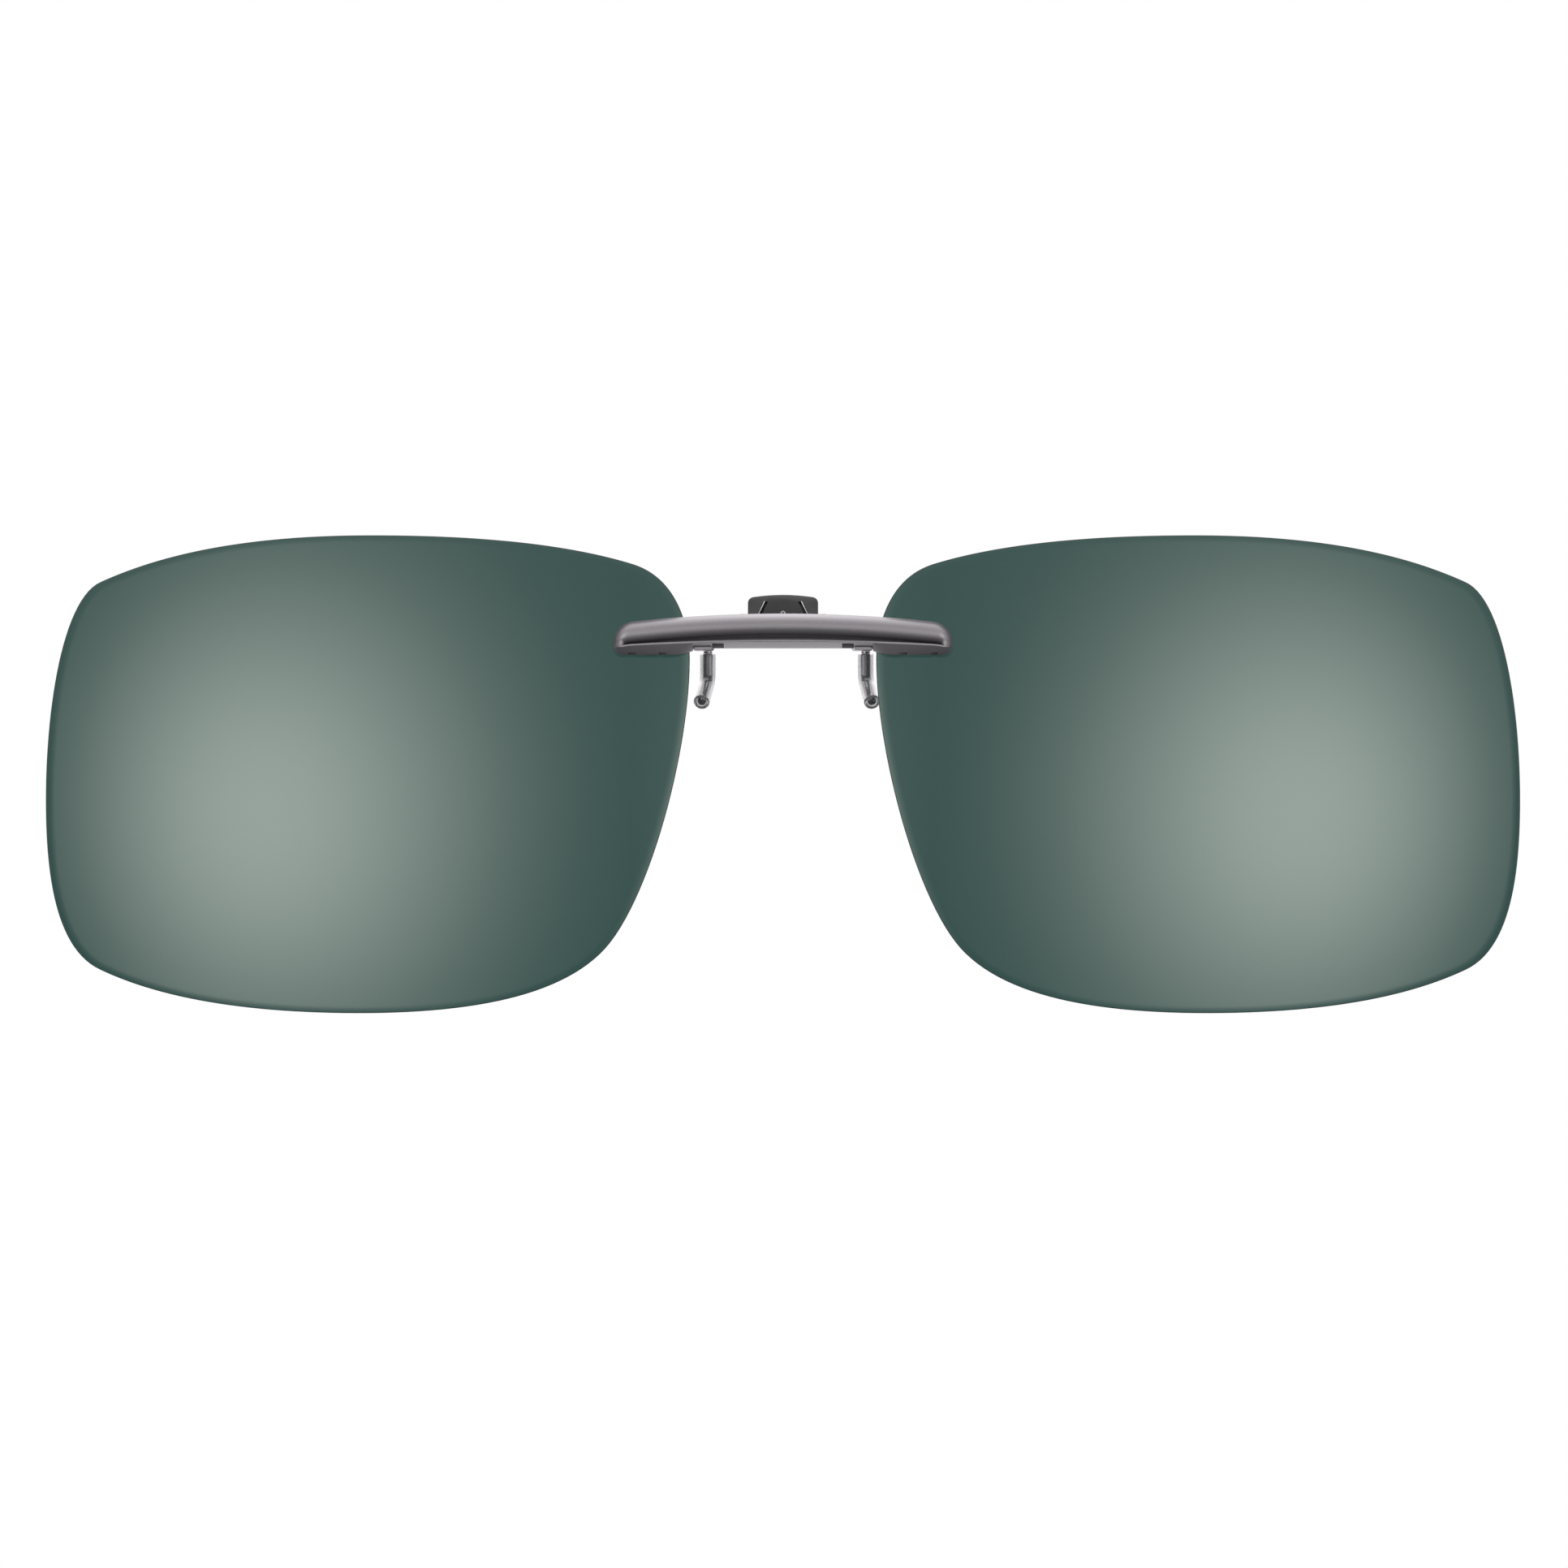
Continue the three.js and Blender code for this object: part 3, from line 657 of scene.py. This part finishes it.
for name, side in SIDES:
    for where, x in zip(("inner", "outer"), RIVET_X):
        rivet = turned(f"{name}_{where}_rivet_head", rivet_profile(), side * x, RIVET_Z)
        finish(rivet, FASTENER, "clip", f"{name}_{where}_rivet")
        bush = turned(f"{name}_{where}_bushing_sleeve", bushing_profile(x), side * x, RIVET_Z)
        finish(bush, NYLON, "clip", f"{name}_{where}_bushing")
    head_y = CHASSIS_REAR_Y - 0.37
    screw = turned(f"{name}_chassis_screw_head", screw_profile(head_y), side * SCREW_X, SCREW_Z)
    cut(screw, [
        block("slot", (side * SCREW_X, head_y + 0.33, SCREW_Z), (1.1, 0.3, 0.2)),
        block("cross", (side * SCREW_X, head_y + 0.33, SCREW_Z), (0.2, 0.3, 1.1)),
    ])
    finish(screw, FASTENER, "clip", f"{name}_chassis_screw")
    pad = refined(f"{name}_jaw_pad_vinyl", f"{name}_jaw_pad", 0.06)
    finish(pad, VINYL, "clip", f"{name}_jaw_pad")


# ---- prongs ---------------------------------------------------------------------------------
WIRE_TRIM = 0.12  # the wire ends this far inside the sleeves' tips
SLEEVE_TOP_Z = -0.78


def prong_line(side, trim, start=None):
    """Centreline from mid-hub, or from height `start` on the leg, to `trim` short of the tip."""
    tip = Vector((LEG_X + 0.56, PIVOT.y - 2.85, -5.2))
    elbow = Vector((LEG_X + 0.04, PIVOT.y, -3.4))
    reach = (tip - elbow).normalized()
    if start is None:
        shoulder = ((LEG_X - 0.9, PIVOT.z), (LEG_X, PIVOT.z), (LEG_X, PIVOT.z - 0.9))
        points = [PIVOT.copy()]
        points += bend(*(Vector((x, PIVOT.y, z)) for x, z in shoulder))
    else:
        points = [Vector((LEG_X, PIVOT.y, start)), Vector((LEG_X, PIVOT.y, start - 0.2))]
    points += bend(Vector((LEG_X, PIVOT.y, elbow.z + 0.8)), elbow, elbow + reach * 0.8)
    points += [tip - reach * (trim + 0.2), tip - reach * trim]
    return [Vector((side * p.x + WIRE_SHIFT, p.y, p.z)) for p in points]


wire_path = prong_line(-1, WIRE_TRIM)[1:][::-1] + prong_line(1, WIRE_TRIM)[1:]
wire = round_bar("prong_wire_bent", wire_path, WIRE_R)
finish(wire, WIRE, "lever", "prong_wire")
for name, side in SIDES:
    path = prong_line(side, 0, SLEEVE_TOP_Z)
    sleeve = tube(f"{name}_prong_sleeve_vinyl", path, SLEEVE_R, SLEEVE_BORE_R)
    finish(sleeve, VINYL, "lever", f"{name}_prong_sleeve")

# ---- torsion spring -------------------------------------------------------------------------
COIL_START = math.pi / 2 + SPRING_TILT
COIL_ANGLE = SPRING_TILT + math.radians(90 - 145 + 360 * SPRING_TURNS)
COIL_STEPS = 160
LEG_END_Y = -1.0  # how far the fixed legs reach into the chassis
LOOP_TOP = 1.2  # how far up the pad the middle loop rises


def coil(f):
    """The coil's centreline, f running from 0 at its outer end to 1."""
    a = COIL_START - COIL_ANGLE * f
    x = SPRING_X + (SPRING_GAP_X - SPRING_X) * f
    return Vector((x, PIVOT.y + SPRING_R * math.cos(a), PIVOT.z + SPRING_R * math.sin(a)))


def spring_half(side):
    """One fixed leg, its coil, and half of the loop that rises up the pad's front face."""
    first = coil(0)
    drop = (first.y - LEG_END_Y) * math.tan(SPRING_TILT)
    points = [Vector((SPRING_X, LEG_END_Y, first.z - drop))]
    points += [coil(k / COIL_STEPS) for k in range(COIL_STEPS + 1)]
    loop = [Vector((SPRING_GAP_X, 0.5, SPRING_R)), Vector((SPRING_GAP_X, 1.06, SPRING_R))]
    corner, middle = Vector((SPRING_GAP_X, LOOP_TOP, SPRING_R)), Vector((0, LOOP_TOP, SPRING_R))
    loop += bend(loop[-1], corner, middle, 6)[1:]
    loop.append(Vector((-0.06, LOOP_TOP, SPRING_R)))  # the halves overlap in the middle
    points += [lever_frame @ p for p in loop]
    return [Vector((side * p.x, p.y, p.z)) for p in points]


# the spring's two coils twist from their fixed outer ends to the loop that rides on the lever
for name, side in SIDES:
    spring = round_bar(f"torsion_spring_{name}_coil", spring_half(side), SPRING_WIRE_R, 16, 0.04)
    spring.data.materials.append(SPRING)
    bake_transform(spring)
    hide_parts("torsion_spring")

# ---- floor, light and camera ----------------------------------------------------------------
# the floor starts behind the clip, out of sight of the lenses' front faces
FLOOR_Z = -0.16
FLOOR_HALF, FLOOR_FRONT, FLOOR_BACK = 1.0, 0.04, 0.9
floor_corners = ((-FLOOR_HALF, FLOOR_FRONT), (FLOOR_HALF, FLOOR_FRONT),
                 (FLOOR_HALF, FLOOR_BACK), (-FLOOR_HALF, FLOOR_BACK))
floor = make("floor", [(x / MM, y / MM, FLOOR_Z / MM) for x, y in floor_corners], [(0, 1, 2, 3)])
floor_mat, floor_tree, floor_bsdf = node_material("floor_paper")
floor_bsdf.inputs["Roughness"].default_value = 0.9
floor_tree.links.new(ramp(floor_tree, noise(floor_tree, 3, 2, 0.5), grey(0.86), grey(0.88)),
                     floor_bsdf.inputs["Base Color"])
floor.data.materials.append(floor_mat)

world = bpy.data.worlds.new("studio")
bpy.context.scene.world = world
world.use_nodes = True
tree = world.node_tree
tree.nodes.clear()

# a dim room brightens towards a broad soft light that hangs above and a little behind
OVERHEAD = (0.0, 0.47, 0.883)
ROOM, ROOM_RISE, TOP_LIGHT, TOP_FALL = 0.2, 0.5, 2.5, 3
coords = tree.nodes.new("ShaderNodeTexCoord")
towards = add(tree, "ShaderNodeVectorMath", operation="DOT_PRODUCT")
towards.inputs[1].default_value = OVERHEAD
tree.links.new(coords.outputs["Generated"], towards.inputs[0])
near = calc(tree, "MULTIPLY", calc(tree, "ADD", towards.outputs["Value"], 1.0), 0.5)
room = calc(tree, "ADD", calc(tree, "MULTIPLY", near, ROOM_RISE), ROOM)
overhead = calc(tree, "MULTIPLY", calc(tree, "POWER", near, TOP_FALL), TOP_LIGHT)
room = calc(tree, "ADD", overhead, room)
# what is seen directly or through a lens is plain white
ray = tree.nodes.new("ShaderNodeLightPath")
seen = calc(tree, "MAXIMUM", ray.outputs["Is Camera Ray"], ray.outputs["Is Transmission Ray"])
backdrop = tree.nodes.new("ShaderNodeMix")
backdrop.data_type = "FLOAT"
tree.links.new(seen, backdrop.inputs[0])
tree.links.new(room, backdrop.inputs[2])
backdrop.inputs[3].default_value = 1.0
background = tree.nodes.new("ShaderNodeBackground")
tree.links.new(backdrop.outputs[0], background.inputs["Color"])
output = tree.nodes.new("ShaderNodeOutputWorld")
tree.links.new(background.outputs[0], output.inputs["Surface"])

# two soft lamps stand side by side in front, each brightest in its middle
LAMP_X, LAMP_Y, LAMP_Z = 92.5, -101, EYE_Z - 10.2
LAMP_HALF_WIDE, LAMP_HALF_HIGH = 92.5, 125
LAMP_REACH_X, LAMP_REACH_Z, LAMP_FALL = 184, 196, 12
LAMP_RADIANCE, LAMP_SPREAD = 4.25, 130


def area_light(name, wide, high, radiance, place, turn):
    """A rectangular lamp, sizes in millimetres, that only lights and reflections show."""
    light = bpy.data.lights.new(name, "AREA")
    light.shape = "RECTANGLE"
    light.size, light.size_y = wide * MM, high * MM
    light.energy = math.pi * light.size * light.size_y * radiance
    ob = bpy.data.objects.new(name, light)
    ob.location = Vector(place) * MM
    ob.rotation_euler = (turn, 0, 0)
    ob.visible_camera = False
    ob.visible_transmission = False
    bpy.context.scene.collection.objects.link(ob)
    return light


def soft_edges(light):
    """The light falls off from the lamp's middle as (1 - r^2)^LAMP_FALL, r over its reach."""
    light.use_nodes = True
    tree = light.node_tree
    place = tree.nodes.new("ShaderNodeNewGeometry")
    split = tree.nodes.new("ShaderNodeSeparateXYZ")
    tree.links.new(place.outputs["Parametric"], split.inputs[0])
    square = 0.0
    reaches = (("X", LAMP_HALF_WIDE / LAMP_REACH_X), ("Y", LAMP_HALF_HIGH / LAMP_REACH_Z))
    for axis, reach in reaches:
        off = calc(tree, "MULTIPLY", calc(tree, "SUBTRACT", split.outputs[axis], 0.5), 2 * reach)
        square = calc(tree, "ADD", calc(tree, "MULTIPLY", off, off), square)
    fall = calc(tree, "POWER", calc(tree, "SUBTRACT", 1.0, square), LAMP_FALL)
    tree.links.new(fall, tree.nodes["Emission"].inputs["Strength"])


for name, side in SIDES:
    lamp = area_light(f"{name}_lamp", 2 * LAMP_HALF_WIDE, 2 * LAMP_HALF_HIGH, LAMP_RADIANCE,
                      (side * LAMP_X, LAMP_Y, LAMP_Z), math.pi / 2)
    lamp.spread = math.radians(LAMP_SPREAD)
    soft_edges(lamp)

# a small lamp above the bridge makes the highlight along its middle
BRIDGE_LAMP_SIZE, BRIDGE_LAMP_RADIANCE, BRIDGE_LAMP_DISTANCE = 16, 3, 50
BRIDGE_FRONT_Y = -4
behind = math.asin(OVERHEAD[1])
bridge_lamp_y = BRIDGE_LAMP_DISTANCE * OVERHEAD[1] + BRIDGE_FRONT_Y
area_light("bridge_lamp", BRIDGE_LAMP_SIZE, BRIDGE_LAMP_SIZE, BRIDGE_LAMP_RADIANCE,
           (0, bridge_lamp_y, BRIDGE_LAMP_DISTANCE * OVERHEAD[2]), -behind)

VIEW_WIDTH = 140.36  # millimetres across the image where the lenses' outer edges stand
EDGE_Y = 3.2
DISTANCE = 1000.0
CAMERA_X, CAMERA_Z = 0.09, EYE_Z - 0.87
camera = bpy.data.cameras.new("camera")
camera.sensor_width = 36
camera.lens = camera.sensor_width * (DISTANCE + EDGE_Y) / VIEW_WIDTH
camera_ob = bpy.data.objects.new("camera", camera)
camera_ob.location = Vector((CAMERA_X, -DISTANCE, CAMERA_Z)) * MM
camera_ob.rotation_euler = (math.pi / 2, 0, 0)
bpy.context.scene.collection.objects.link(camera_ob)
bpy.context.scene.camera = camera_ob
bpy.context.scene.view_settings.view_transform = "Standard"
